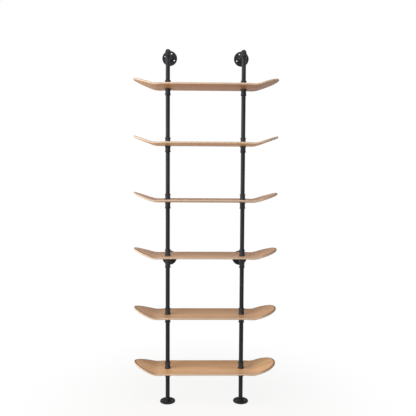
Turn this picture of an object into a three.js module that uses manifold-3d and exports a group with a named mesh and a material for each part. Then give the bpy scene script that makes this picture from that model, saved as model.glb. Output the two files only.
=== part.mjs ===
// Pipe shelving unit: six maple boards with bent-up ends, clamped on two uprights of threaded iron pipe.
// Millimetres. +X runs along the shelves towards their blunter ends, +Y points to the wall, +Z is up.
// The origin is on the floor, under the middle of the whole unit.
import * as THREE from "three";
import { mergeVertices } from "three/addons/utils/BufferGeometryUtils.js";
import Module from "manifold-3d";

// Pipe, in the two stock lengths that the unit uses
const pipeRadius = 12;
const pipeWall = 2.8;
const longPipeLength = 254;
const shortPipeLength = 152.4;

// Threads: how far a pipe screws in, the extra depth below its end, and the gap that parts the two solids
const threadEngagement = 12;
const socketRelief = 1;
const threadGap = 0.3;

// Bead-ended malleable fittings
const fittingWall = 1.9;
const beadHeight = 1.8;
const beadWidth = 6;
const beadSlope = 2;
const couplingMiddle = 9;
const elbowThroat = 0.8;
const elbowLand = 0.5;

// Round flanges, on the floor and on the wall
const flangeRadius = 43;
const flangeBehindPipe = 7;
const flangeRimWidth = 6;
const flangeRimHeight = 6.5;
const flangeRimBevel = 1.5;
const flangeWebHeight = 5;
const hubWall = 4.7;
const hubRootWidth = 4.5;
const hubRootHeight = 4;
const screwHoleRadius = 4;
const screwEdgeDistance = 14;
const screwHoleCount = 4;

// Shelves
const shelfCount = 6;
const teeShelf = 3;
const uprightSpacing = 416;
const shelfWidth = 206;
const shelfThickness = 11;
const pipeHoleGap = 0.6;
const faceGap = 0.3;

// Bent ends: reach from the pipe's axis to the tip, and rise over run past the bend
const tailReach = 191;
const noseReach = 195;
const tailSlopeShare = 0.393;
const noseSlopeShare = 0.365;
const bendStart = 47.5;
const bendRadius = 118;

// Tips, seen from above: how long each one's outline is, and its curve from pointed (1) to square
const tailTipLength = 150;
const noseTipLength = 100;
const tailTipCurveShare = 1.77;
const noseTipCurveShare = 2.08;

// Dished top: a flat middle, sides that curve up, less so towards the tips
const dishRise = 7.6;
const dishFlatShare = 0.25;
const dishFadeShare = 0.83;
const dishFadeLength = 150;
const acrossShares = [-1, -0.65, -0.25, 0.25, 0.65, 1];

// Where each flange's first screw hole lies, as shares of a full turn about its axis
const leftFloorTurnShare = 0.125;
const rightFloorTurnShare = 0.147;
const leftTopTurnShare = 0.186;
const rightTopTurnShare = 0.067;
const middleTurnShare = 0;

// How finely round things are faceted, and how far a cut runs past what it cuts
const roundSteps = 12;
const flangeSteps = 20;
const screwHoleSteps = 8;
const bendShares = [0, 0.2, 0.4, 0.6, 0.8, 1];
const tipSteps = 9;
const overrun = 1;
const mergeDistance = 0.001;

// Sizes that follow from the ones above
const pipeBoreRadius = pipeRadius - pipeWall;
const socketRadius = pipeRadius + threadGap;
const socketDepth = threadEngagement + socketRelief;
const waistRadius = socketRadius + fittingWall;
const beadRadius = waistRadius + beadHeight;
const couplingLength = 2 * socketDepth + couplingMiddle;
const elbowBendRadius = waistRadius + elbowThroat;
const elbowStraight = socketDepth + elbowLand;
const centreToEnd = elbowBendRadius + elbowStraight;
const flangeHeight = threadEngagement + flangeBehindPipe;
const hubRadius = socketRadius + hubWall;
const screwCircleRadius = flangeRadius - screwEdgeDistance;
const longPipeShown = longPipeLength - 2 * threadEngagement;
const shortPipeShown = shortPipeLength - 2 * threadEngagement;
const closeNippleLength = shelfThickness + 2 * threadEngagement;
const wallDistance = centreToEnd + shortPipeShown + flangeHeight;

const iron = new THREE.MeshStandardMaterial({ color: 0x24282b, roughness: 0.45, metalness: 0.6 });
const maple = new THREE.MeshStandardMaterial({ color: 0xd8b186, roughness: 0.5, metalness: 0 });
iron.flatShading = true;
maple.flatShading = true;

const wasm = await Module();
wasm.setup();

// Closed mesh with shared corners, without the slivers that a profile leaves where it meets its axis
function closed(geometry) {
  geometry.deleteAttribute("normal");
  geometry.deleteAttribute("uv");
  const merged = mergeVertices(geometry, mergeDistance);
  const corners = merged.index.array;
  const kept = [];
  for (let k = 0; k < corners.length; k += 3) {
    const [a, b, c] = corners.slice(k, k + 3);
    if (a !== b && b !== c && c !== a) kept.push(a, b, c);
  }
  return merged.setIndex(kept);
}

function solidOf(geometry) {
  const mesh = closed(geometry);
  const vertProperties = mesh.attributes.position.array;
  const triVerts = new Uint32Array(mesh.index.array);
  return new wasm.Manifold(new wasm.Mesh({ numProp: 3, vertProperties, triVerts }));
}

function geometryOf(solid) {
  const mesh = solid.getMesh();
  const geometry = new THREE.BufferGeometry();
  geometry.setAttribute("position", new THREE.BufferAttribute(mesh.vertProperties, 3));
  geometry.setIndex(new THREE.BufferAttribute(mesh.triVerts, 1));
  return geometry;
}

// Skin through loops of points, each joined to the next one
function skin(loops) {
  const corners = [];
  for (let s = 1; s < loops.length; s += 1) {
    const near = loops[s - 1];
    const far = loops[s];
    near.forEach((a, k) => {
      const next = (k + 1) % near.length;
      corners.push(a, far[k], far[next], a, far[next], near[next]);
    });
  }
  return closed(new THREE.BufferGeometry().setFromPoints(corners));
}

// A profile of [radius, height] points turned about the Z axis
function turned(profile, steps = roundSteps) {
  const points = profile.map(([radius, height]) => new THREE.Vector2(radius, height));
  return new THREE.LatheGeometry(points, steps).rotateX(Math.PI / 2);
}

// The same for a ring, whose profile closes on itself
function turnedRing(profile, steps = roundSteps) {
  return turned([...profile, profile[0]], steps);
}

function pipe(length) {
  return turnedRing([
    [pipeBoreRadius, 0],
    [pipeRadius, 0],
    [pipeRadius, length],
    [pipeBoreRadius, length],
  ]);
}

// The outside of a bead-ended sleeve between two heights
function beadedOutside(bottom, top) {
  return [
    [beadRadius, bottom],
    [beadRadius, bottom + beadWidth],
    [waistRadius, bottom + beadWidth + beadSlope],
    [waistRadius, top - beadWidth - beadSlope],
    [beadRadius, top - beadWidth],
    [beadRadius, top],
  ];
}

// Coupling that stands on a shelf
function upperCoupling() {
  return turnedRing([
    [socketRadius, faceGap],
    ...beadedOutside(faceGap, couplingLength),
    [socketRadius, couplingLength],
  ]);
}

// Coupling under a shelf, in one with the close nipple that passes through the shelf
function lowerCoupling() {
  const face = couplingLength - faceGap;
  const nippleTop = couplingLength + shelfThickness + threadEngagement;
  return turnedRing([
    [socketRadius, 0],
    ...beadedOutside(0, face),
    [pipeRadius, face],
    [pipeRadius, nippleTop],
    [pipeBoreRadius, nippleTop],
    [pipeBoreRadius, socketDepth],
    [socketRadius, socketDepth],
  ]);
}

// One arm of the tee, from just past its middle out to its open end, and the hollow inside it
function teeArm(end) {
  const bead = end - beadWidth;
  return turned([
    [0, -overrun],
    [waistRadius, -overrun],
    [waistRadius, bead - beadSlope],
    [beadRadius, bead],
    [beadRadius, end],
    [0, end],
  ]);
}

function teeHollow() {
  return turned([
    [0, -overrun],
    [pipeBoreRadius, -overrun],
    [pipeBoreRadius, centreToEnd - socketDepth],
    [socketRadius, centreToEnd - socketDepth],
    [socketRadius, centreToEnd + overrun],
    [0, centreToEnd + overrun],
  ]);
}

const upwards = (geometry) => geometry;
const downwards = (geometry) => geometry.rotateX(Math.PI);
const toWall = (geometry) => geometry.rotateX(-Math.PI / 2);

// Tee with its run upright and its branch to the wall; the origin is where the two axes cross
function tee() {
  const above = solidOf(teeArm(centreToEnd - faceGap));
  const below = solidOf(downwards(teeArm(centreToEnd)));
  const branch = solidOf(toWall(teeArm(centreToEnd)));
  const hollows = [upwards, downwards, toWall].map((turn) => solidOf(turn(teeHollow())));
  const body = above.add(below).add(branch);
  return geometryOf(hollows.reduce((rest, hollow) => rest.subtract(hollow), body));
}

// Ring of points round the elbow's axis, at a share of its quarter bend or set back along a straight arm
function elbowRing(radius, share, setback) {
  const angle = (share * Math.PI) / 2;
  const ring = [];
  for (let k = 0; k < roundSteps; k += 1) {
    const turn = (2 * Math.PI * k) / roundSteps;
    const out = elbowBendRadius + radius * Math.sin(turn);
    const y = elbowBendRadius - out * Math.cos(angle) + setback * Math.sin(angle);
    const z = out * Math.sin(angle) - elbowBendRadius + setback * Math.cos(angle);
    ring.push(new THREE.Vector3(radius * Math.cos(turn), y, z));
  }
  return ring;
}

// Elbow from the upright to the wall; the origin is where the two axes cross. One skin runs along the
// outside from the open lower end to the open wall end, and back along the inside.
function elbow() {
  const arm = (profile, share, sign) =>
    profile.map(([radius, depth]) => elbowRing(radius, share, sign * (elbowStraight - depth)));
  const bend = (radius) => bendShares.map((share) => elbowRing(radius, share, 0));
  const outside = [[beadRadius, 0], [beadRadius, beadWidth], [waistRadius, beadWidth + beadSlope]];
  const inside = [[pipeBoreRadius, socketDepth], [socketRadius, socketDepth], [socketRadius, 0]];
  const rings = [
    ...arm(outside, 0, -1),
    ...bend(waistRadius),
    ...arm(outside, 1, 1).reverse(),
    ...arm(inside, 1, 1).reverse(),
    ...bend(pipeBoreRadius).reverse(),
    ...arm(inside, 0, -1),
  ];
  return skin([...rings, rings[0]]);
}

// Flange with its flat back at height zero and its hub upwards, and the screw holes turned by an angle
function flange(turnShare) {
  const rimInside = flangeRadius - flangeRimWidth;
  const body = solidOf(turnedRing([
    [socketRadius, 0],
    [flangeRadius, 0],
    [flangeRadius, flangeRimHeight - flangeRimBevel],
    [flangeRadius - flangeRimBevel, flangeRimHeight],
    [rimInside + flangeRimBevel, flangeRimHeight],
    [rimInside, flangeWebHeight],
    [hubRadius + hubRootWidth, flangeWebHeight],
    [hubRadius, flangeWebHeight + hubRootHeight],
    [hubRadius, flangeHeight],
    [socketRadius, flangeHeight],
  ], flangeSteps));
  return geometryOf(screwHoles(turnShare).reduce((rest, hole) => rest.subtract(hole), body));
}

function screwHoles(turnShare) {
  const holes = [];
  for (let k = 0; k < screwHoleCount; k += 1) {
    const angle = 2 * Math.PI * (turnShare + k / screwHoleCount);
    const hole = turned([
      [0, -overrun],
      [screwHoleRadius, -overrun],
      [screwHoleRadius, flangeRimHeight + overrun],
      [0, flangeRimHeight + overrun],
    ], screwHoleSteps);
    hole.translate(screwCircleRadius * Math.cos(angle), screwCircleRadius * Math.sin(angle), 0);
    holes.push(solidOf(hole));
  }
  return holes;
}

// Rise and slope of a shelf's top face at a distance outside the pipe's axis
function bendAt(distance, angle) {
  const past = Math.max(distance - bendStart, 0);
  const curved = Math.min(past, bendRadius * Math.sin(angle));
  const slope = Math.asin(curved / bendRadius);
  const rise = bendRadius * (1 - Math.cos(slope)) + (past - curved) * Math.tan(angle);
  return { rise, slope };
}

// Half the shelf's width at a distance before the tip
function halfWidthAt(beforeTip, end) {
  const share = Math.max(1 - beforeTip / end.tipLength, 0);
  const cut = Math.max(1 - share ** end.tipCurveShare, 0);
  return (shelfWidth / 2) * cut ** (1 / end.tipCurveShare);
}

function dishAt(across, distance) {
  const share = Math.abs(across) / (shelfWidth / 2);
  const climb = Math.max(share - dishFlatShare, 0) / (1 - dishFlatShare);
  const fade = 1 - dishFadeShare * Math.min(distance / dishFadeLength, 1);
  return dishRise * climb ** 2 * fade;
}

// Sections of one end, from the pipe's axis to the tip: each is a loop of points, along the top face
// from front to back and along the underside from back to front
function endSections(end) {
  const angle = Math.atan(end.slopeShare);
  const tip = end.reach - shelfThickness * Math.sin(angle);
  const places = [0, ...bendShares.map((share) => bendStart + share * bendRadius * Math.sin(angle))];
  for (let k = 0; k <= tipSteps; k += 1) {
    places.push(tip - end.tipLength * (1 - Math.sin((Math.PI / 2) * (k / tipSteps))));
  }
  places.sort((a, b) => a - b);
  return places.map((distance) => {
    const { rise, slope } = bendAt(distance, angle);
    const halfWidth = halfWidthAt(tip - distance, end);
    const x = uprightSpacing / 2 + distance;
    const outwards = shelfThickness * Math.sin(slope);
    const down = shelfThickness * Math.cos(slope);
    const top = acrossShares.map((share) => {
      const y = share * halfWidth;
      return new THREE.Vector3(end.side * x, y, rise + dishAt(y, distance));
    });
    const underside = top.map((p) => new THREE.Vector3(p.x + end.side * outwards, p.y, p.z - down));
    return [...top, ...underside.reverse()];
  });
}

function shelfBlank() {
  const tail = {
    side: -1,
    reach: tailReach,
    slopeShare: tailSlopeShare,
    tipLength: tailTipLength,
    tipCurveShare: tailTipCurveShare,
  };
  const nose = {
    side: 1,
    reach: noseReach,
    slopeShare: noseSlopeShare,
    tipLength: noseTipLength,
    tipCurveShare: noseTipCurveShare,
  };
  return skin([...endSections(tail).reverse(), ...endSections(nose)]);
}

function shelf() {
  const holeRadius = pipeRadius + pipeHoleGap;
  const bottom = -shelfThickness - overrun;
  const profile = [[0, bottom], [holeRadius, bottom], [holeRadius, overrun], [0, overrun]];
  const hole = (x) => solidOf(turned(profile).translate(x, 0, 0));
  const board = solidOf(shelfBlank());
  return geometryOf(board.subtract(hole(-uprightSpacing / 2)).subtract(hole(uprightSpacing / 2)));
}

// Heights from the floor up: the bottom of the fitting under each shelf, and the shelf's top face
function shelfLevels() {
  const levels = [];
  let height = flangeHeight + shortPipeShown;
  for (let level = 1; level <= shelfCount; level += 1) {
    const fitting = level === teeShelf ? 2 * centreToEnd : couplingLength;
    const top = height + fitting + shelfThickness;
    levels.push({ level, fittingBottom: height, underside: height + fitting, top });
    height = top + couplingLength + longPipeShown;
  }
  return levels;
}

function part(name, geometry, material, y, z) {
  const mesh = new THREE.Mesh(geometry, material);
  mesh.name = name;
  mesh.position.set(0, y, z);
  return mesh;
}

// The pipe from a tee or elbow to the wall, and its flange
function wallArm(name, height, turnShare) {
  const start = centreToEnd - threadEngagement;
  const arm = part(`${name}_arm`, toWall(pipe(shortPipeLength)), iron, start, height);
  const plate = flange(turnShare).rotateX(Math.PI / 2);
  return [arm, part(`${name}_wall_flange`, plate, iron, wallDistance, height)];
}

function upright(name, floorTurnShare, topTurnShare) {
  const group = new THREE.Group();
  const add = (piece, geometry, z) => group.add(part(`${name}_${piece}`, geometry, iron, 0, z));
  const levels = shelfLevels();
  add("floor_flange", flange(floorTurnShare), 0);
  add("leg_pipe", pipe(shortPipeLength), flangeHeight - threadEngagement);
  for (const { level, fittingBottom, underside, top } of levels) {
    if (level === teeShelf) {
      const centre = fittingBottom + centreToEnd;
      add("tee", tee(), centre);
      add("tee_nipple", pipe(closeNippleLength), underside - threadEngagement);
      group.add(...wallArm(`${name}_middle`, centre, middleTurnShare));
    } else {
      add(`lower_coupling_${level}`, lowerCoupling(), fittingBottom);
    }
    add(`upper_coupling_${level}`, upperCoupling(), top);
    if (level < shelfCount) {
      const pipeBottom = top + couplingLength - threadEngagement;
      add(`pipe_${level}_${level + 1}`, pipe(longPipeLength), pipeBottom);
    }
  }
  const topPipeBottom = levels[shelfCount - 1].top + couplingLength - threadEngagement;
  const elbowCentre = topPipeBottom + shortPipeLength - threadEngagement + centreToEnd;
  add("top_pipe", pipe(shortPipeLength), topPipeBottom);
  add("elbow", elbow(), elbowCentre);
  group.add(...wallArm(`${name}_top`, elbowCentre, topTurnShare));
  return group;
}

const unit = new THREE.Group();
unit.position.set((tailReach - noseReach) / 2, (shelfWidth / 2 - wallDistance) / 2, 0);
const left = upright("left", leftFloorTurnShare, leftTopTurnShare);
const right = upright("right", rightFloorTurnShare, rightTopTurnShare);
left.position.x = -uprightSpacing / 2;
right.position.x = uprightSpacing / 2;
unit.add(left, right);
for (const { level, top } of shelfLevels()) {
  unit.add(part(`shelf_${level}`, shelf(), maple, 0, top));
}

const model = new THREE.Group();
model.add(unit);

export default model;
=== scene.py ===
# Pipe shelving unit: six maple boards clamped on two uprights of threaded black iron pipe.
# Metres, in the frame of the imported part: +X along the boards, +Y to the wall, +Z up.
import math

import bmesh
import bpy
import numpy as np
from mathutils import Matrix, Vector


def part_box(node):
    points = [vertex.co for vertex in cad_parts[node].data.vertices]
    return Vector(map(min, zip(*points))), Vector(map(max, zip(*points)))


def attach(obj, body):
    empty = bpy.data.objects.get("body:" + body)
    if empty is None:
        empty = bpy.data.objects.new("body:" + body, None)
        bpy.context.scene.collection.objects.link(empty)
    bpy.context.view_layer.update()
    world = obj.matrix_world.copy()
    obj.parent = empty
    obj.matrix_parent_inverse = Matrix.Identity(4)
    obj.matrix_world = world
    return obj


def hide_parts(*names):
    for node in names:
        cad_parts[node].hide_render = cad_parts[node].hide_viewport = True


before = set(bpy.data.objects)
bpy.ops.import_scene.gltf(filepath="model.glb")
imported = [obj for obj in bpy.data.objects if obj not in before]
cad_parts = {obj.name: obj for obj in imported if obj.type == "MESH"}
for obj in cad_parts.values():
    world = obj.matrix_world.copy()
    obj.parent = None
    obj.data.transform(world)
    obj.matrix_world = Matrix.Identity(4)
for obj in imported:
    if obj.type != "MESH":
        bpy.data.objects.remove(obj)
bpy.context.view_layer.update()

MM = 0.001

# Pipe and fittings, the sizes of the part's source. The engagement is how far a pipe goes into a
# fitting, and the face gap is what keeps a fitting just off its board.
PIPE_RADIUS = 12 * MM
BORE_RADIUS = 9.2 * MM
ENGAGEMENT = 12 * MM
SOCKET_RADIUS = 12.3 * MM
SOCKET_DEPTH = 13 * MM
WAIST_RADIUS = 14.2 * MM
BEAD_RADIUS = 16 * MM
BEAD_WIDTH = 6 * MM
BEAD_SLOPE = 2 * MM
FACE_GAP = 0.3 * MM
COUPLING_LENGTH = 35 * MM
ELBOW_BEND_RADIUS = 15 * MM
ELBOW_STRAIGHT = 13.5 * MM
CENTRE_TO_END = 28.5 * MM

# The board that the tees stand under, counted from the floor
TEE_LEVEL = 3

# Fillets of the couplings, elbows and tees
MOUTH_ROUND = 0.3 * MM
END_ROUND = 0.9 * MM
BEAD_ROUND = 1.6 * MM
WAIST_ROUND = 2.2 * MM
TEE_END_ROUND = 1.6 * MM
TEE_BRANCH_BLEND = 5 * MM

# The step inside a coupling that the pipes stop at
STOP_RADIUS = BORE_RADIUS + 1.2 * MM
STOP_SLOPE = 1 * MM

# Pipe thread: what shows of it past a fitting's face, and the pipe's end inside the fitting
THREAD_PITCH = 1.814 * MM
THREAD_DEPTH = 1.0 * MM
THREAD_SHOWN = 5.5 * MM
CLOSE_THREAD_SHOWN = 0.4 * MM
THREAD_RINGS_PER_TURN = 5
THREAD_LEAD = 0.5 * MM
PIPE_END_BEVEL = 0.6 * MM
PIPE_END_CUT = 1.3 * THREAD_DEPTH

# Flanges: a raised rim, a web inside it, a hub round the pipe, and a boss round each screw hole
FLANGE_RADIUS = 43 * MM
FLANGE_HEIGHT = 19 * MM
RIM_INSIDE = FLANGE_RADIUS - 6 * MM
RIM_TAPER = 0.6 * MM
RIM_HEIGHT = 6.5 * MM
WEB_HEIGHT = 5 * MM
HUB_RADIUS = 17 * MM
HUB_ROOT_WIDTH = 4.5 * MM
HUB_ROOT_HEIGHT = 4 * MM
SCREW_CIRCLE_RADIUS = 29 * MM
SCREW_HOLE_RADIUS = 4 * MM
SCREW_HOLE_COUNT = 4
COUNTERSINK = 0.7 * MM
BOSS_RADIUS = 7 * MM
BOSS_TOP = WEB_HEIGHT + 1.3 * MM
BOSS_ROOT = 1 * MM
DRILL_PAST = 2 * MM

# Radius, height and fillet of each corner of a flange, from the mouth of its back outwards
FLANGE_CORNERS = [
    (SOCKET_RADIUS, 0, 0.4 * MM),
    (FLANGE_RADIUS, 0, 0.6 * MM),
    (FLANGE_RADIUS, RIM_HEIGHT, 2.4 * MM),
    (RIM_INSIDE, RIM_HEIGHT, 1.6 * MM),
    (RIM_INSIDE - RIM_TAPER, WEB_HEIGHT, 0.8 * MM),
    (HUB_RADIUS + HUB_ROOT_WIDTH, WEB_HEIGHT, 2 * MM),
    (HUB_RADIUS, WEB_HEIGHT + HUB_ROOT_HEIGHT, 2.5 * MM),
    (HUB_RADIUS, FLANGE_HEIGHT, 1.5 * MM),
    (SOCKET_RADIUS, FLANGE_HEIGHT, 0.4 * MM),
]

# The same of the boss round a screw hole
BOSS_CORNERS = [
    (SCREW_HOLE_RADIUS / 2, BOSS_ROOT, 0),
    (BOSS_RADIUS, BOSS_ROOT, 0),
    (BOSS_RADIUS, BOSS_TOP, 0.9 * MM),
    (SCREW_HOLE_RADIUS / 2, BOSS_TOP, 0),
]

# Radius and height of each ring of the drill that makes a screw hole and its countersink
DRILL_RINGS = [
    (SCREW_HOLE_RADIUS, -DRILL_PAST),
    (SCREW_HOLE_RADIUS, BOSS_TOP - 0.5 * MM),
    (SCREW_HOLE_RADIUS + COUNTERSINK, BOSS_TOP + 0.2 * MM),
    (SCREW_HOLE_RADIUS + COUNTERSINK, BOSS_TOP + DRILL_PAST),
]

# How far each flange is turned on its axis, in shares of a whole turn
TURN_SHARES = {
    "left_floor": 0.125,
    "right_floor": 0.147,
    "left_top_wall": 0.186,
    "right_top_wall": 0.067,
    "left_middle_wall": 0,
    "right_middle_wall": 0,
}

# Boards
UPRIGHT_SPACING = 416 * MM
PIPE_X = UPRIGHT_SPACING / 2
BOARD_WIDTH = 206 * MM
BOARD_THICKNESS = 11 * MM
BOARD_HOLE_RADIUS = 12.6 * MM
EDGE_ROUND = 3.5 * MM
PLY_COUNT = 7

# The bend of a board's end: how far outside the pipe's axis it starts, and its radius
BEND_START = 47.5 * MM
BEND_RADIUS = 118 * MM

# The dish across a board: how far its sides rise, the share of its width that stays flat, and the
# share of the rise that is lost over a length outside the pipe's axis
DISH_RISE = 7.6 * MM
DISH_FLAT = 0.25
DISH_FADE = 0.83
DISH_FADE_LENGTH = 150 * MM

# A board's ends: the side of the middle, how far past the pipe's axis the tip is, the angle that the end
# is bent up by, and the length of the rounded tip and the power of its curve
TAIL = {
    "side": -1,
    "reach": 191 * MM,
    "angle": math.atan(0.393),
    "tip_length": 150 * MM,
    "tip_curve": 1.77,
}
NOSE = {
    "side": 1,
    "reach": 195 * MM,
    "angle": math.atan(0.365),
    "tip_length": 100 * MM,
    "tip_curve": 2.08,
}

# How far each level's veneer is darkened towards brown at the tip of its tail and at the tip of its nose:
# partly each sheet's own tone, partly painted shade, more on the boards whose tops lie in shade and
# towards the nose, away from the window light
PAINTED_BOARD_SHADES = {
    1: (0, 0),
    2: (0.33, 0.36),
    3: (0.40, 0.64),
    4: (0.54, 0.74),
    5: (0, 0),
    6: (0.24, 0.76),
}

# How far apart the boards' sheets are cut from the log, so that no two have the same grain
SHEET_SPACING = 0.37

# Steps of the boards' mesh, with a square patch of finer steps round each pipe hole, whose ring of
# points starts at the patch's corner
EDGE_ARC_STEPS = 4
EDGE_LAND_STEPS = 3
TIP_STEPS = 28
ROW_SPACING = 9 * MM
MIDDLE_STEPS = 8
OUTER_COLUMNS = 9
HOLE_PATCH_REACH = 20 * MM
HOLE_PATCH_STEPS = 8
PATCH_MARGIN = 0.1 * MM
PATCH_CORNER_TURN = math.radians(225)

# Steps round the pipes and fittings, the flanges and the screw holes, and in each fillet, and the
# share of a side that a fillet takes at most
ROUND_STEPS = 48
FLANGE_STEPS = 96
SCREW_HOLE_STEPS = 32
ARC_STEPS = 4
LARGEST_FILLET_SHARE = 0.49
ELBOW_RING_SPACING = 2 * MM

# The grid that the tee's surface is found in: its cells, and how far it goes without and with an arm
TEE_CELL = 0.95 * MM
TEE_SIDE_REACH = 18 * MM
TEE_ARM_REACH = 31 * MM

# Floor and surroundings, with the range in which the floor's shadow fades out
WHITE = (1, 1, 1, 1)
FLOOR_TONE = (0.66, 0.58, 0.5, 1)
FLOOR_REACH = 6.0
FLOOR_DROP = 0.2 * MM
SHADOW_SHARE = 0.1
SHADOW_START = 0.3
SHADOW_END = 1.2
SOFT_LIGHT = 0.16

# Camera, fitted to the uprights, boards and flanges of the photograph
CAMERA_PLACE = (-0.0364, -2.81055, 1.2820)
CAMERA_YAW = math.radians(1.039)
CAMERA_PITCH = math.radians(3.646)
CAMERA_ROLL = math.radians(-0.324)
FOCAL_PIXELS = 498.9
FRAME_PIXELS = 416
SENSOR_WIDTH = 36


# Finishes


class Value:
    """A socket of a finish's node tree; arithmetic on it adds Math nodes."""

    def __init__(self, finish, socket):
        self.finish = finish
        self.socket = socket

    def __add__(self, other):
        return self.finish.maths("ADD", self, other)

    __radd__ = __add__

    def __mul__(self, other):
        return self.finish.maths("MULTIPLY", self, other)

    __rmul__ = __mul__

    def __sub__(self, other):
        return self.finish.maths("SUBTRACT", self, other)

    def __rsub__(self, other):
        return self.finish.maths("SUBTRACT", other, self)


class Finish:
    """A material, or the world, as a node tree that is written from Python."""

    def __init__(self, owner):
        owner.use_nodes = True
        self.owner = owner
        self.tree = owner.node_tree
        self.tree.nodes.clear()

    def node(self, kind, settings=None, inputs=None):
        made = self.tree.nodes.new(kind)
        for key, value in (settings or {}).items():
            if key == "stops":
                self.set_stops(made.color_ramp, value)
            else:
                setattr(made, key, value)
        for key, value in (inputs or {}).items():
            self.feed(made.inputs[key], value)
        return made

    def set_stops(self, ramp, stops):
        while len(ramp.elements) > 1:
            ramp.elements.remove(ramp.elements[-1])
        ramp.elements[0].position = stops[0][0]
        for place, _ in stops[1:]:
            ramp.elements.new(place)
        for element, (_, tone) in zip(ramp.elements, stops):
            element.color = (*tone, 1)

    def feed(self, socket, value):
        if isinstance(value, Value):
            self.tree.links.new(value.socket, socket)
        elif isinstance(value, bpy.types.NodeSocket):
            self.tree.links.new(value, socket)
        else:
            socket.default_value = value

    def value(self, node, output=0):
        return Value(self, node.outputs[output])

    def maths(self, operation, *terms):
        made = self.node("ShaderNodeMath", {"operation": operation}, dict(enumerate(terms)))
        return self.value(made)

    def between(self, value, low, high):
        """0 up to low, 1 from high on, smooth between them."""
        made = self.node(
            "ShaderNodeMapRange",
            {"interpolation_type": "SMOOTHSTEP"},
            {"Value": value, "From Min": low, "From Max": high},
        )
        return self.value(made, "Result")

    def field(self, name, output="Fac"):
        """What the mesh itself says of each of its points."""
        return self.value(self.node("ShaderNodeAttribute", {"attribute_name": name}), output)

    def place(self):
        """The point in the frame of the part, since no piece has a transform of its own."""
        return self.value(self.node("ShaderNodeTexCoord"), "Object")

    def noise(self, place, scale, detail=3.0, roughness=0.55, distortion=0.0):
        """Noise at a place whose axes are first multiplied by scale."""
        stretched = self.node(
            "ShaderNodeVectorMath", {"operation": "MULTIPLY"}, {0: place, 1: scale}
        )
        made = self.node(
            "ShaderNodeTexNoise",
            {},
            {
                "Vector": self.value(stretched),
                "Scale": 1.0,
                "Detail": detail,
                "Roughness": roughness,
                "Distortion": distortion,
            },
        )
        return self.value(made, "Fac")

    def ramp(self, value, stops):
        made = self.node("ShaderNodeValToRGB", {"stops": stops}, {"Fac": value})
        return self.value(made, "Color")

    def mixed(self, factor, first, second):
        made = self.node("ShaderNodeMix", {"data_type": "RGBA"})
        self.feed(made.inputs["Factor"], factor)
        for index, tone in ((6, first), (7, second)):
            self.feed(made.inputs[index], tone if isinstance(tone, Value) else (*tone, 1))
        return self.value(made, 2)

    def bump(self, height, strength, distance, normal=None):
        inputs = {"Strength": strength, "Distance": distance, "Height": height}
        if normal is not None:
            inputs["Normal"] = normal
        return self.value(self.node("ShaderNodeBump", {}, inputs), "Normal")

    def seen(self):
        """1 for rays from the camera, off gloss or through glass, and 0 for the light on the unit."""
        light_path = self.node("ShaderNodeLightPath")
        rays = self.value(light_path, "Is Camera Ray") + self.value(light_path, "Is Glossy Ray")
        rays = rays + self.value(light_path, "Is Transmission Ray")
        return self.maths("MINIMUM", rays, 1.0)

    def surface(self, inputs):
        shader = self.node("ShaderNodeBsdfPrincipled", {}, inputs)
        self.node("ShaderNodeOutputMaterial", {}, {"Surface": shader.outputs[0]})
        return self.owner

    def two_shaders(self, factor, first, second, output_kind):
        """The first shader at 0, the second at 1, as the whole material or world."""
        both = self.node(
            "ShaderNodeMixShader", {}, {0: factor, 1: first.outputs[0], 2: second.outputs[0]}
        )
        self.node(output_kind, {}, {"Surface": both.outputs[0]})
        return self.owner


def srgb(red, green, blue):
    """Linear tone of a colour written in 0 to 255."""
    return tuple(
        c / 12.92 if c <= 0.04045 else ((c + 0.055) / 1.055) ** 2.4
        for c in (red / 255, green / 255, blue / 255)
    )


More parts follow.
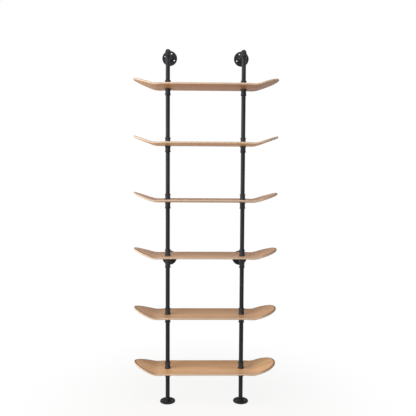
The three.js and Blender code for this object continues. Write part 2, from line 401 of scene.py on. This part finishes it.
def maple_finish():
    """Lacquered maple veneer, with its plies showing at the rounded edge."""
    f = Finish(bpy.data.materials.new("maple_veneer"))
    grain_place = f.field("grain_place", "Vector")
    depth = f.field("ply_depth")
    across = f.field("across_grain")
    distance = f.field("outline_distance")

    # Veneer: broad figure, streaks and fibres along the grain, flecks, and each sheet's tone with painted
    # shade that darkens some boards and their noses
    broad = f.noise(grain_place, (2.2, 14, 40), detail=2.0, distortion=0.6)
    streak = f.noise(grain_place, (5, 95, 95), detail=4.0, roughness=0.6)
    fibre = f.noise(grain_place, (30, 900, 900), detail=2.0)
    fleck = f.noise(grain_place, (60, 420, 420), detail=1.0)
    wood = f.ramp(
        broad * 0.5 + streak * 0.35 + fibre * 0.15,
        [
            (0.30, srgb(199, 146, 96)),
            (0.47, srgb(220, 168, 117)),
            (0.60, srgb(227, 180, 129)),
            (0.75, srgb(234, 191, 142)),
        ],
    )
    wood = f.mixed(f.between(fleck, 0.62, 0.74) * 0.22, wood, srgb(168, 118, 76))
    # Painted shade: each board darkened towards brown, more towards its nose on the side away from the
    # window light, on top of its sheet's own tone
    wood = f.mixed(f.field("sheet_shade"), wood, srgb(150, 96, 58))

    # Plies at the edge: pale, every second one with its grain crossed, and a glue line at each joint
    ply = depth * PLY_COUNT
    inside = f.between(depth, 0.05, 0.1) * (1 - f.between(depth, 0.9, 0.95))
    crossed_ply = f.maths("MODULO", f.maths("FLOOR", ply), 2.0) * inside
    end_grain = f.noise(grain_place, (700, 700, 200), detail=2.0)
    crossed = f.mixed(end_grain, srgb(170, 120, 78), srgb(204, 158, 112))
    from_middle = f.maths("ABSOLUTE", f.maths("FRACT", ply) - 0.5)
    glue = f.between(from_middle, 0.41, 0.47) * inside
    wood = f.mixed(inside * 0.75, wood, srgb(226, 208, 188))
    wood = f.mixed(crossed_ply * 0.35, wood, crossed)
    wood = f.mixed(glue * 0.45, wood, srgb(122, 82, 50))

    # Darkened rim of the top face: painted shade along its rounded edge all round, and darker end grain
    # most where the edge cuts across the grain
    rim = (1 - f.between(distance, 0.005, 0.009)) * (1 - f.between(depth, 0.12, 0.3))
    rim_shade_and_end_grain = 0.2 + 0.6 * f.between(across, 0.02, 0.2)
    wood = f.mixed(rim_shade_and_end_grain * rim, wood, srgb(92, 68, 48))
    coarse = f.bump(streak, 0.06, 0.0004)
    return f.surface(
        {
            "Base Color": wood,
            "Roughness": 0.40 + 0.16 * fibre + 0.08 * glue,
            "Specular IOR Level": 0.35,
            "Normal": f.bump(fibre, 0.06, 0.00012, coarse),
        }
    )


def pipe_finish():
    """Black lacquered pipe: smooth, with faint drawing lines and patches of thicker lacquer."""
    f = Finish(bpy.data.materials.new("black_iron_pipe"))
    place = f.place()
    patches = f.noise(place, (45, 45, 12), detail=3.0)
    drawn = f.noise(place, (600, 600, 16), detail=2.0)
    specks = f.noise(place, (1400, 1400, 1400), detail=1.0)
    tone = f.mixed(f.between(patches, 0.35, 0.68), srgb(36, 38, 42), srgb(44, 46, 50))
    tone = f.mixed(f.between(specks, 0.66, 0.76) * 0.12, tone, srgb(62, 64, 66))
    lines = f.bump(drawn, 0.02, 0.0002)
    return f.surface(
        {
            "Base Color": tone,
            "Roughness": 0.27 + 0.1 * patches,
            "Specular IOR Level": 0.15,
            "Normal": f.bump(specks, 0.02, 0.0001, lines),
        }
    )


def casting_finish(name, dark, pale):
    """Black malleable iron: the grainy skin of a sand casting under the same lacquer."""
    f = Finish(bpy.data.materials.new(name))
    place = f.place()
    patches = f.noise(place, (60, 60, 60), detail=3.0)
    sand = f.noise(place, (620, 620, 620), detail=3.0, roughness=0.65)
    pits = f.noise(place, (240, 240, 240), detail=2.0)
    tone = f.mixed(f.between(patches, 0.32, 0.7), dark, pale)
    tone = f.mixed(f.between(sand, 0.58, 0.74) * 0.2, tone, srgb(62, 63, 66))
    uneven = f.bump(pits, 0.15, 0.0006)
    return f.surface(
        {
            "Base Color": tone,
            "Roughness": 0.5 + 0.16 * sand,
            "Specular IOR Level": 0.18,
            "Normal": f.bump(sand, 0.2, 0.00035, uneven),
        }
    )


# Shapes of pipes and fittings: each is points, an array of n x 3, and faces, lists of point numbers


def rounded(corners):
    """Closed profile of (radius, height, fillet) corners, each corner turned into an arc."""
    points = []
    for k, (radius, height, fillet) in enumerate(corners):
        here = np.array([radius, height])
        if not fillet:
            points.append(here)
            continue
        to_last = np.array(corners[k - 1][:2]) - here
        to_next = np.array(corners[(k + 1) % len(corners)][:2]) - here
        last_length, next_length = np.linalg.norm(to_last), np.linalg.norm(to_next)
        to_last, to_next = to_last / last_length, to_next / next_length
        half = math.acos(np.clip(to_last @ to_next, -1, 1)) / 2
        set_back = min(
            fillet / math.tan(half),
            LARGEST_FILLET_SHARE * last_length,
            LARGEST_FILLET_SHARE * next_length,
        )
        reach = set_back * math.tan(half)
        middle = to_last + to_next
        centre = here + middle / np.linalg.norm(middle) * reach / math.sin(half)
        start, end = here + to_last * set_back - centre, here + to_next * set_back - centre
        whole = math.pi - 2 * half
        for step in range(ARC_STEPS + 1):
            share = step / ARC_STEPS
            weights = math.sin((1 - share) * whole), math.sin(share * whole)
            points.append(centre + (weights[0] * start + weights[1] * end) / math.sin(whole))
    return points


def along_z(height):
    """A ring's centre, and the directions of its turns 0 and 90 degrees."""
    return np.array([0, 0, height]), np.array([1, 0, 0]), np.array([0, 1, 0])


def along_elbow(along):
    """The same on the elbow's axis, from its open lower end to its open wall end."""
    bend = ELBOW_BEND_RADIUS * math.pi / 2
    angle = min(max(along - ELBOW_STRAIGHT, 0), bend) / ELBOW_BEND_RADIUS
    straight = min(along - ELBOW_STRAIGHT, 0) + max(along - ELBOW_STRAIGHT - bend, 0)
    forward = np.array([0, math.sin(angle), math.cos(angle)])
    outward = np.array([0, -math.cos(angle), math.sin(angle)])
    centre = np.array([0, ELBOW_BEND_RADIUS, -ELBOW_BEND_RADIUS])
    return centre + outward * ELBOW_BEND_RADIUS + forward * straight, np.array([1, 0, 0]), -outward


def ring_turns(steps):
    """Angles of the points of a ring."""
    return np.arange(steps) * 2 * math.pi / steps


def ring_faces(rings, steps, closed=True):
    """Faces between rings of points, and from the last ring back to the first if closed."""
    faces = []
    for k in range(rings if closed else rings - 1):
        near, far = k * steps, (k + 1) % rings * steps
        for s in range(steps):
            t = (s + 1) % steps
            faces.append((near + s, near + t, far + t, far + s))
    return faces


def swept(profile, steps=ROUND_STEPS, axis=along_z):
    """A closed profile turned round the axis. Each of its entries is a radius, or one for each step, and
    a place along the axis."""
    turns = ring_turns(steps)
    rings = []
    for radius, along in profile:
        centre, first, second = axis(along)
        rings.append(
            centre
            + np.outer(np.cos(turns) * radius, first)
            + np.outer(np.sin(turns) * radius, second)
        )
    return np.concatenate(rings), ring_faces(len(rings), steps)


def plug(rings, steps):
    """Solid of revolution from its lowest ring to its highest, closed by a face at each end."""
    points, _ = swept(rings, steps)
    faces = ring_faces(len(rings), steps, closed=False)
    last = (len(rings) - 1) * steps
    faces += [tuple(range(steps))[::-1], tuple(range(last, last + steps))]
    return points, faces


def nipple(length, thread_shown=THREAD_SHOWN):
    """Pipe with a tapering thread that shows past the fitting at each end."""
    ring_gap = THREAD_PITCH / THREAD_RINGS_PER_TURN
    thread_end = ENGAGEMENT + thread_shown
    heights = [0, PIPE_END_BEVEL, ENGAGEMENT - THREAD_LEAD]
    heights += [ENGAGEMENT + k * ring_gap for k in range(round(thread_shown / ring_gap) + 1)]
    heights += [length - height for height in reversed(heights)]
    turns = ring_turns(ROUND_STEPS)
    profile = []
    for height in heights:
        from_end = min(height, length - height)
        if from_end >= ENGAGEMENT:
            deepest = THREAD_DEPTH * np.clip((thread_end - from_end) / thread_shown, 0, 1) ** 0.5
            wave = (height / THREAD_PITCH - turns / (2 * math.pi)) % 1
            cut = deepest * (1 - np.abs(2 * wave - 1))
        else:
            cut = THREAD_DEPTH if from_end > 0 else PIPE_END_CUT
        profile.append((PIPE_RADIUS - cut, height))
    return swept(profile + [(BORE_RADIUS, length), (BORE_RADIUS, 0)])


def beaded_outside(low, high):
    """Corners of a fitting's outside, from its mouth at low to its mouth at high."""
    return [
        (SOCKET_RADIUS, low, MOUTH_ROUND),
        (BEAD_RADIUS, low, END_ROUND),
        (BEAD_RADIUS, low + BEAD_WIDTH, BEAD_ROUND),
        (WAIST_RADIUS, low + BEAD_WIDTH + BEAD_SLOPE, WAIST_ROUND),
        (WAIST_RADIUS, high - BEAD_WIDTH - BEAD_SLOPE, WAIST_ROUND),
        (BEAD_RADIUS, high - BEAD_WIDTH, BEAD_ROUND),
        (BEAD_RADIUS, high, END_ROUND),
        (SOCKET_RADIUS, high, MOUTH_ROUND),
    ]


def coupling(face_gap_at_bottom):
    """Bead-ended coupling whose shelf end stays just off the board."""
    low = FACE_GAP if face_gap_at_bottom else 0
    high = COUPLING_LENGTH if face_gap_at_bottom else COUPLING_LENGTH - FACE_GAP
    upper_stop = COUPLING_LENGTH - SOCKET_DEPTH
    return swept(
        rounded(
            [
                *beaded_outside(low, high),
                (SOCKET_RADIUS, upper_stop, MOUTH_ROUND),
                (STOP_RADIUS, upper_stop - STOP_SLOPE, MOUTH_ROUND),
                (STOP_RADIUS, SOCKET_DEPTH + STOP_SLOPE, MOUTH_ROUND),
                (SOCKET_RADIUS, SOCKET_DEPTH, MOUTH_ROUND),
            ]
        )
    )


def elbow():
    """Bead-ended elbow that turns an upright back to the wall."""
    length = 2 * ELBOW_STRAIGHT + ELBOW_BEND_RADIUS * math.pi / 2
    corners = rounded(
        [
            *beaded_outside(0, length),
            (SOCKET_RADIUS, length - SOCKET_DEPTH, 0),
            (BORE_RADIUS, length - SOCKET_DEPTH, 0),
            (BORE_RADIUS, SOCKET_DEPTH, 0),
            (SOCKET_RADIUS, SOCKET_DEPTH, 0),
        ]
    )
    profile = []
    for point, after in zip(corners, corners[1:] + corners[:1]):
        parts = max(1, math.ceil(abs(after[1] - point[1]) / ELBOW_RING_SPACING))
        profile += [point + (after - point) * part / parts for part in range(parts)]
    return swept(profile, axis=along_elbow)


def smooth_least(first, second, reach):
    """The lesser of two distances, with a fillet where they differ by less than reach."""
    closeness = np.clip(reach - np.abs(first - second), 0, None) / reach
    return np.minimum(first, second) - closeness * closeness * reach / 4


def smooth_most(first, second, reach):
    """The greater of two distances, with the same fillet."""
    return -smooth_least(-first, -second, reach)


def tee_arm(across, along):
    """Distance outside an arm of the tee, which widens from its waist to its bead."""
    bead_start = CENTRE_TO_END - BEAD_WIDTH - BEAD_SLOPE
    rise = np.clip((along - bead_start) / BEAD_SLOPE, 0, 1)
    return across - WAIST_RADIUS - (BEAD_RADIUS - WAIST_RADIUS) * rise * rise * (3 - 2 * rise)


def tee():
    """Tee as a smooth casting: the surface where a distance field over its three arms is zero. Its run
    goes up, and its branch goes to the wall."""
    low = np.array([-TEE_SIDE_REACH, -TEE_SIDE_REACH, -TEE_ARM_REACH])
    high = np.array([TEE_SIDE_REACH, TEE_ARM_REACH, TEE_ARM_REACH])
    counts = np.ceil((high - low) / TEE_CELL).astype(int) + 1
    x, y, z = (low[a] + TEE_CELL * np.arange(counts[a]) for a in range(3))
    x, y, z = np.meshgrid(x, y, z, indexing="ij")
    round_run, round_branch = np.hypot(x, y), np.hypot(x, z)
    shelf_end = CENTRE_TO_END - FACE_GAP
    run = smooth_most(tee_arm(round_run, np.abs(z)), z - shelf_end, TEE_END_ROUND)
    run = smooth_most(run, -z - CENTRE_TO_END, TEE_END_ROUND)
    branch = smooth_most(tee_arm(round_branch, y), y - CENTRE_TO_END, TEE_END_ROUND)
    body = smooth_least(run, np.maximum(branch, -y), TEE_BRANCH_BLEND)
    socket_start = CENTRE_TO_END - SOCKET_DEPTH
    run_hollow = round_run - np.where(np.abs(z) > socket_start, SOCKET_RADIUS, BORE_RADIUS)
    branch_hollow = round_branch - np.where(y > socket_start, SOCKET_RADIUS, BORE_RADIUS)
    hollow = np.minimum(run_hollow, np.maximum(branch_hollow, -y))
    return surface_net(np.maximum(body, -hollow), low, TEE_CELL)


def surface_net(field, low, spacing):
    """One point in each cell that the surface crosses, and one face round each crossed edge."""
    inside = field < 0
    cells = tuple(n - 1 for n in field.shape)
    total, count = np.zeros((*cells, 3)), np.zeros(cells)
    crossings = []
    for axis in range(3):
        first = tuple(slice(0, -1) if a == axis else slice(None) for a in range(3))
        last = tuple(slice(1, None) if a == axis else slice(None) for a in range(3))
        crossed = np.argwhere(inside[first] != inside[last])
        start = field[first][tuple(crossed.T)]
        end = field[last][tuple(crossed.T)]
        place = crossed.astype(float)
        place[:, axis] += start / (start - end)
        others = [a for a in range(3) if a != axis]
        crossings.append((others, crossed))
        for one in (0, -1):
            for two in (0, -1):
                cell = crossed.copy()
                cell[:, others[0]] += one
                cell[:, others[1]] += two
                np.add.at(total, tuple(cell.T), place)
                np.add.at(count, tuple(cell.T), 1)
    used = count > 0
    number = np.full(cells, -1)
    number[used] = np.arange(used.sum())
    points = low + spacing * total[used] / count[used][:, None]
    faces = []
    for others, crossed in crossings:
        loop = []
        for one, two in ((0, 0), (-1, 0), (-1, -1), (0, -1)):
            cell = crossed.copy()
            cell[:, others[0]] += one
            cell[:, others[1]] += two
            loop.append(number[tuple(cell.T)])
        faces.append(np.stack(loop, 1))
    return points, np.concatenate(faces).tolist()


def flange_casting():
    """Round flange with its back at height zero, a raised rim, bosses round its holes and a hub."""
    flange = temporary("flange", *swept(rounded(FLANGE_CORNERS), FLANGE_STEPS))
    boss = swept(rounded(BOSS_CORNERS), SCREW_HOLE_STEPS)
    drill = plug(DRILL_RINGS, SCREW_HOLE_STEPS)
    for k in range(SCREW_HOLE_COUNT):
        turn = 2 * math.pi * k / SCREW_HOLE_COUNT
        place = Vector((SCREW_CIRCLE_RADIUS * math.cos(turn), SCREW_CIRCLE_RADIUS * math.sin(turn), 0))
        combine(flange, boss, place, "UNION")
        combine(flange, drill, place, "DIFFERENCE")
    mesh = flange.data
    points = np.array([v.co for v in mesh.vertices])
    faces = [tuple(p.vertices) for p in mesh.polygons]
    bpy.data.objects.remove(flange)
    return points, faces


def temporary(name, points, faces):
    """An object that a shape is worked out on, and that is removed after it."""
    mesh = bpy.data.meshes.new(name)
    mesh.from_pydata([tuple(p) for p in points], [], faces)
    outwards(mesh)
    made = bpy.data.objects.new(name, mesh)
    bpy.context.scene.collection.objects.link(made)
    return made


def outwards(mesh):
    """Turn every face of a mesh to look outwards."""
    edit = bmesh.new()
    edit.from_mesh(mesh)
    bmesh.ops.recalc_face_normals(edit, faces=edit.faces)
    edit.to_mesh(mesh)
    edit.free()


def combine(solid, tool_shape, place, operation):
    """Join a tool to a solid, or cut it out of it, and take the tool away."""
    tool = temporary("tool", *tool_shape)
    tool.location = place
    change = solid.modifiers.new("change", "BOOLEAN")
    change.operation = operation
    change.solver = "EXACT"
    change.object = tool
    bpy.context.view_layer.update()
    seen = solid.evaluated_get(bpy.context.evaluated_depsgraph_get())
    mesh = bpy.data.meshes.new_from_object(seen)
    solid.modifiers.clear()
    solid.data = mesh
    bpy.data.objects.remove(tool)


# Shapes of the boards


def bend_at(distance, angle):
    """Rise, slope and length along the top face at a distance outside the pipe's axis."""
    past = max(distance - BEND_START, 0)
    curved = min(past, BEND_RADIUS * math.sin(angle))
    slope = math.asin(curved / BEND_RADIUS)
    rise = BEND_RADIUS * (1 - math.cos(slope)) + (past - curved) * math.tan(angle)
    length = distance - past + BEND_RADIUS * slope + (past - curved) / math.cos(angle)
    return rise, slope, length


def dish_at(across, distance):
    """Rise of the top face towards its sides, which fades towards the board's ends."""
    share = abs(across) / (BOARD_WIDTH / 2)
    climb = max(share - DISH_FLAT, 0) / (1 - DISH_FLAT)
    fade = 1 - DISH_FADE * min(distance / DISH_FADE_LENGTH, 1)
    return DISH_RISE * climb**2 * fade


def outline_end(end):
    """Half outline of a board's end, from its tip to the fine steps beside its pipe hole."""
    half = BOARD_WIDTH / 2
    patch_end = PIPE_X + HOLE_PATCH_REACH
    tip = PIPE_X + end["reach"] - BOARD_THICKNESS * math.sin(end["angle"])
    length, curve = end["tip_length"], end["tip_curve"]
    rows = []
    for k in range(TIP_STEPS + 1):
        turn = math.pi / 2 * k / TIP_STEPS
        share, width = math.cos(turn) ** (2 / curve), math.sin(turn) ** (2 / curve)
        outward = np.array([share ** (curve - 1) / length, width ** (curve - 1) / half])
        outward /= np.linalg.norm(outward)
        x = tip - length * (1 - share)
        rows.append((end["side"] * x, half * width, end["side"] * outward[0], outward[1]))
    count = math.ceil((tip - length - patch_end) / ROW_SPACING)
    straight = np.linspace(tip - length, patch_end, count + 1)[1:-1]
    return rows + [(end["side"] * x, half, 0.0, 1.0) for x in straight]


def board_outline():
    """Half outline of the top face from the tail's tip to the nose's tip: x, y and outward normal."""
    patch = np.linspace(-HOLE_PATCH_REACH, HOLE_PATCH_REACH, HOLE_PATCH_STEPS + 1)
    between = np.linspace(HOLE_PATCH_REACH - PIPE_X, PIPE_X - HOLE_PATCH_REACH, MIDDLE_STEPS + 1)[1:-1]
    middle = np.concatenate([patch - PIPE_X, between, patch + PIPE_X])
    straight = [(x, BOARD_WIDTH / 2, 0.0, 1.0) for x in middle]
    return outline_end(TAIL) + straight + outline_end(NOSE)[::-1]


def board_edge():
    """Inset and depth of each ring of the edge, from the top face's border to the underside's."""
    turns = [math.pi / 2 * k / EDGE_ARC_STEPS for k in range(EDGE_ARC_STEPS + 1)]
    upper = [(EDGE_ROUND * (1 - math.sin(a)), EDGE_ROUND * (1 - math.cos(a))) for a in turns]
    land = BOARD_THICKNESS - 2 * EDGE_ROUND
    middle = [(0, EDGE_ROUND + land * k / EDGE_LAND_STEPS) for k in range(1, EDGE_LAND_STEPS)]
    lower = [(inset, BOARD_THICKNESS - depth) for inset, depth in upper[::-1]]
    return upper + middle + lower


def board(level, top_height):
    """Points, faces and fields of a board. The fields say of each point its place in the flat veneer,
    its depth in the plies, how far the edge there cuts across the grain, and its distance from the
    outline."""
    outline = board_outline()
    outline_points = np.array([(x, y) for x, y, *_ in outline])
    last = len(outline) - 1
    points, faces = [], []
    fields = {"grain_place": [], "ply_depth": [], "across_grain": [], "outline_distance": []}

    def point(x, y, depth, crossing, from_outline):
        end = NOSE if x > 0 else TAIL
        distance = max(abs(x) - PIPE_X, 0)
        rise, slope, length = bend_at(distance, end["angle"])
        along = end["side"] * (PIPE_X + length) if distance else x
        points.append(
            (
                x + end["side"] * depth * math.sin(slope),
                y,
                top_height + rise + dish_at(y, distance) - depth * math.cos(slope),
            )
        )
        fields["grain_place"].append((along, y, level * SHEET_SPACING + depth))
        fields["ply_depth"].append(depth / BOARD_THICKNESS)
        fields["across_grain"].append(crossing)
        fields["outline_distance"].append(from_outline)
        return len(points) - 1

    def inner_point(x, y, depth):
        """A point of the top or underside, which takes its crossing from the nearest of the outline."""
        spans = np.hypot(outline_points[:, 0] - x, outline_points[:, 1] - abs(y))
        nearest = outline[int(spans.argmin())]
        from_outline = (nearest[0] - x) * nearest[2] + (nearest[1] - abs(y)) * nearest[3]
        return point(x, y, depth, abs(nearest[2]), from_outline)

    def ring(inset, depth):
        loop = outline + [(x, -y, nx, -ny) for x, y, nx, ny in outline[1:-1][::-1]]
        return [
            point(x - nx * inset, y - ny * inset, depth, abs(nx), inset) for x, y, nx, ny in loop
        ]

    def band(near, far):
        for s in range(len(near)):
            t = (s + 1) % len(near)
            faces.append((near[s], near[t], far[t], far[s]))

    rings = [ring(inset, depth) for inset, depth in board_edge()]
    for near, far in zip(rings, rings[1:]):
        band(near, far)

    inner = HOLE_PATCH_REACH / (BOARD_WIDTH / 2 - EDGE_ROUND)
    shares = np.concatenate(
        [
            np.linspace(-1, -inner, OUTER_COLUMNS),
            np.linspace(-inner, inner, HOLE_PATCH_STEPS + 1)[1:-1],
            np.linspace(inner, 1, OUTER_COLUMNS),
        ]
    )
    columns = len(shares) - 1
    first_column = OUTER_COLUMNS - 1
    patch_columns = range(first_column, first_column + HOLE_PATCH_STEPS)
    patch_starts = [
        next(
            i
            for i, (x, *_) in enumerate(outline)
            if i > 0 and abs(x - side * PIPE_X) < HOLE_PATCH_REACH + PATCH_MARGIN
        )
        for side in (-1, 1)
    ]
    patch_rows = {start + k for start in patch_starts for k in range(HOLE_PATCH_STEPS)}

    def face_rows(border, depth):
        """Points of the top or underside, row by row from the tail's tip, between its border's points."""
        rows = []
        for i, (x, y, nx, ny) in enumerate(outline):
            if i in (0, last):
                rows.append([border[i]] * (columns + 1))
                continue
            x_in, y_in = x - nx * EDGE_ROUND, y - ny * EDGE_ROUND
            middle = [inner_point(x_in, share * y_in, depth) for share in shares[1:-1]]
            rows.append([border[-i], *middle, border[i]])
        return rows

    def patch_border(rows, start):
        """Points round the patch of a hole, from its corner towards the tail and the front."""
        end, left, right = start + HOLE_PATCH_STEPS, first_column, first_column + HOLE_PATCH_STEPS
        steps = range(HOLE_PATCH_STEPS)
        border = [rows[start + k][left] for k in steps]
        border += [rows[end][left + k] for k in steps]
        border += [rows[end - k][right] for k in steps]
        border += [rows[start][right - k] for k in steps]
        return border

    def hole_ring(side, depth):
        """Points round a pipe hole, one for each point round its patch."""
        count = 4 * HOLE_PATCH_STEPS
        turns = [PATCH_CORNER_TURN + 2 * math.pi * k / count for k in range(count)]
        hole = []
        for turn in turns:
            x = side * PIPE_X + BOARD_HOLE_RADIUS * math.cos(turn)
            hole.append(inner_point(x, BOARD_HOLE_RADIUS * math.sin(turn), depth))
        return hole

    def face_grid(border, depth):
        """Faces of the top or underside, up to the pipe holes. Gives the points round each hole."""
        rows = face_rows(border, depth)
        for i in range(last):
            for c in range(columns):
                if i in patch_rows and c in patch_columns:
                    continue
                corners = (rows[i][c], rows[i + 1][c], rows[i + 1][c + 1], rows[i][c + 1])
                corners = tuple(dict.fromkeys(corners))
                if len(corners) > 2:
                    faces.append(corners)
        holes = [hole_ring(side, depth) for side in (-1, 1)]
        for start, hole in zip(patch_starts, holes):
            band(patch_border(rows, start), hole)
        return holes

    top_holes = face_grid(rings[0], 0)
    under_holes = face_grid(rings[-1], BOARD_THICKNESS)
    for top, under in zip(top_holes, under_holes):
        band(top, under)
    return points, faces, fields


# Pieces


def piece(name, shape, finish, nodes, place):
    """A mesh of the unit at its place, in front of the CAD nodes that it stands for."""
    points, faces = shape
    mesh = bpy.data.meshes.new(name)
    mesh.from_pydata([tuple(p) for p in points], [], faces)
    mesh.transform(place)
    outwards(mesh)
    mesh.shade_smooth()
    mesh.materials.append(finish)
    made = bpy.data.objects.new(name, mesh)
    bpy.context.scene.collection.objects.link(made)
    even = made.modifiers.new("even_normals", "WEIGHTED_NORMAL")
    even.keep_sharp = True
    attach(made, "root")
    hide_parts(*nodes)
    return made


def iron(name, shape, finish, node, place):
    """A piece of an upright, in front of its one CAD node."""
    piece(name, shape, finish, [node], place)


def box_of(node):
    """A node's lowest and highest corners, and its middle."""
    low, high = (Vector(corner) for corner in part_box(node))
    return low, high, (low + high) / 2


def standing(node):
    """For a piece that stands on its own height zero."""
    low, _, middle = box_of(node)
    return Matrix.Translation((middle.x, middle.y, low.z))


def lying(node):
    """For a piece whose own Z axis goes to the wall."""
    low, _, middle = box_of(node)
    return Matrix.Translation((middle.x, low.y, middle.z)) @ Matrix.Rotation(-math.pi / 2, 4, "X")


def backed(node):
    """For a piece with its own height zero on the wall and its Z axis coming forward from there."""
    _, high, middle = box_of(node)
    return Matrix.Translation((middle.x, high.y, middle.z)) @ Matrix.Rotation(math.pi / 2, 4, "X")


def crossing(node):
    """For a tee or elbow: the point where its axes cross."""
    low, _, middle = box_of(node)
    return Matrix.Translation((middle.x, low.y + BEAD_RADIUS, low.z + CENTRE_TO_END))


def make_boards(finish):
    for node in sorted(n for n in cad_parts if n.startswith("shelf_")):
        level = int(node.split("_")[1])
        low, _, middle = box_of(node)
        points, faces, fields = board(level, low.z + BOARD_THICKNESS)
        shift = Matrix.Translation(((TAIL["reach"] - NOSE["reach"]) / 2, middle.y, 0))
        made = piece(f"{node}_board", (points, faces), finish, [node], shift)
        # Painted shade of each board, graded from its tail's tip to its nose's tip
        places = [x for x, *_ in points]
        tips = min(places), max(places)
        fields["sheet_shade"] = np.interp(places, tips, PAINTED_BOARD_SHADES[level])
        for name, values in fields.items():
            values = np.array(values).astype(np.float32)
            kind, key = ("FLOAT_VECTOR", "vector") if values.ndim == 2 else ("FLOAT", "value")
            attribute = made.data.attributes.new(name, kind, "POINT")
            attribute.data.foreach_set(key, values.ravel())


def make_uprights(tube, pale_casting, dark_casting):
    upper, lower = coupling(True), coupling(False)
    bent, branched, round_plate = elbow(), tee(), flange_casting()
    close = nipple(BOARD_THICKNESS + 2 * ENGAGEMENT, CLOSE_THREAD_SHOWN)
    for node in sorted(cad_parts):
        if node.startswith("shelf_"):
            continue
        low, high, _ = box_of(node)
        side, kind = node.split("_", 1)
        if kind.startswith("upper_coupling"):
            place = standing(node) @ Matrix.Translation((0, 0, -FACE_GAP))
            iron(f"{node}_sleeve", upper, pale_casting, node, place)
        elif kind.startswith("lower_coupling"):
            iron(f"{node}_sleeve", lower, pale_casting, node, standing(node))
            level = kind.split("_")[-1]
            place = standing(node) @ Matrix.Translation((0, 0, COUPLING_LENGTH - ENGAGEMENT))
            iron(f"{side}_close_nipple_{level}", close, tube, node, place)
        elif kind == "tee_nipple":
            iron(f"{side}_close_nipple_{TEE_LEVEL}", close, tube, node, standing(node))
        elif kind == "tee":
            iron(f"{node}_casting", branched, pale_casting, node, crossing(node))
        elif kind == "elbow":
            iron(f"{node}_casting", bent, dark_casting, node, crossing(node))
        elif kind.endswith("flange"):
            share = TURN_SHARES[node.removesuffix("_flange")]
            place = standing(node) if kind == "floor_flange" else backed(node)
            turned = place @ Matrix.Rotation(2 * math.pi * share, 4, "Z")
            iron(f"{node}_casting", round_plate, dark_casting, node, turned)
        elif kind.endswith("arm"):
            iron(f"{node}_tube", nipple(high.y - low.y), tube, node, lying(node))
        else:
            iron(f"{node}_tube", nipple(high.z - low.z), tube, node, standing(node))


make_boards(maple_finish())
make_uprights(
    pipe_finish(),
    casting_finish("black_iron_pale_casting", srgb(50, 52, 56), srgb(62, 64, 68)),
    casting_finish("black_iron_dark_casting", srgb(31, 32, 35), srgb(41, 43, 46)),
)


# Floor, light and camera


def floor_finish():
    """White where it is seen, but for the unit's faint shadow, and a warm matt tone to the light."""
    f = Finish(bpy.data.materials.new("pale_floor"))
    place = f.node("ShaderNodeSeparateXYZ", {}, {"Vector": f.place()})
    x, y = f.value(place, "X"), f.value(place, "Y")
    away = f.maths("SQRT", x * x + y * y)
    whiteness = (1 - SHADOW_SHARE) + SHADOW_SHARE * f.between(away, SHADOW_START, SHADOW_END)
    matt = f.node("ShaderNodeBsdfDiffuse", {}, {"Color": FLOOR_TONE})
    white = f.node("ShaderNodeEmission", {}, {"Color": WHITE, "Strength": 1.0})
    return f.two_shaders(whiteness * f.seen(), matt, white, "ShaderNodeOutputMaterial")


def make_floor():
    mesh = bpy.data.meshes.new("floor")
    corners = [(-1, -1), (1, -1), (1, 1), (-1, 1)]
    mesh.from_pydata([(x * FLOOR_REACH, y * FLOOR_REACH, 0) for x, y in corners], [], [(0, 1, 2, 3)])
    floor = bpy.data.objects.new("floor", mesh)
    bpy.context.scene.collection.objects.link(floor)
    floor.location.z = -FLOOR_DROP
    mesh.materials.append(floor_finish())


def make_world():
    """White where it is seen, and a weak soft light on the unit."""
    world = bpy.data.worlds.new("studio")
    bpy.context.scene.world = world
    f = Finish(world)
    soft = f.node("ShaderNodeBackground", {}, {"Color": WHITE, "Strength": SOFT_LIGHT})
    white = f.node("ShaderNodeBackground", {}, {"Color": WHITE, "Strength": 1.0})
    f.two_shaders(f.seen(), soft, white, "ShaderNodeOutputWorld")


def make_lamp(name, place, aim, size, watts, tint):
    data = bpy.data.lights.new(name, "AREA")
    data.shape = "RECTANGLE"
    data.size, data.size_y = size
    data.energy = watts
    data.color = tint
    lamp = bpy.data.objects.new(name, data)
    lamp.location = place
    lamp.rotation_euler = (Vector(aim) - Vector(place)).to_track_quat("-Z", "Y").to_euler()
    lamp.visible_camera = False
    bpy.context.scene.collection.objects.link(lamp)


def make_camera():
    """At the photograph's viewing angle."""
    ahead = math.cos(CAMERA_PITCH)
    forward = Vector(
        (math.sin(CAMERA_YAW) * ahead, math.cos(CAMERA_YAW) * ahead, -math.sin(CAMERA_PITCH))
    )
    level = Vector((math.cos(CAMERA_YAW), -math.sin(CAMERA_YAW), 0))
    below = forward.cross(level)
    right = math.cos(CAMERA_ROLL) * level + math.sin(CAMERA_ROLL) * below
    down = math.cos(CAMERA_ROLL) * below - math.sin(CAMERA_ROLL) * level
    turned = Matrix((right, -down, -forward)).transposed().to_4x4()
    data = bpy.data.cameras.new("camera")
    data.sensor_width = SENSOR_WIDTH
    data.lens = FOCAL_PIXELS / FRAME_PIXELS * data.sensor_width
    camera = bpy.data.objects.new("camera", data)
    camera.matrix_world = Matrix.Translation(CAMERA_PLACE) @ turned
    bpy.context.scene.collection.objects.link(camera)
    bpy.context.scene.camera = camera


make_floor()
make_world()
make_lamp(
    "window_light",
    place=(-3.3, -1.7, 1.9),
    aim=(0, 0, 0.95),
    size=(3.0, 2.6),
    watts=150,
    tint=(0.91, 0.96, 1.0),
)
make_lamp(
    "top_light",
    place=(0.1, -1.7, 4.2),
    aim=(0, 0, 0.8),
    size=(2.0, 1.4),
    watts=57,
    tint=(1, 1, 1),
)
make_lamp(
    "front_fill",
    place=(-0.2, -3.6, 1.5),
    aim=(0, 0, 0.95),
    size=(2.6, 2.0),
    watts=13,
    tint=(1.0, 0.94, 0.88),
)
make_camera()
bpy.context.scene.view_settings.view_transform = "Standard"
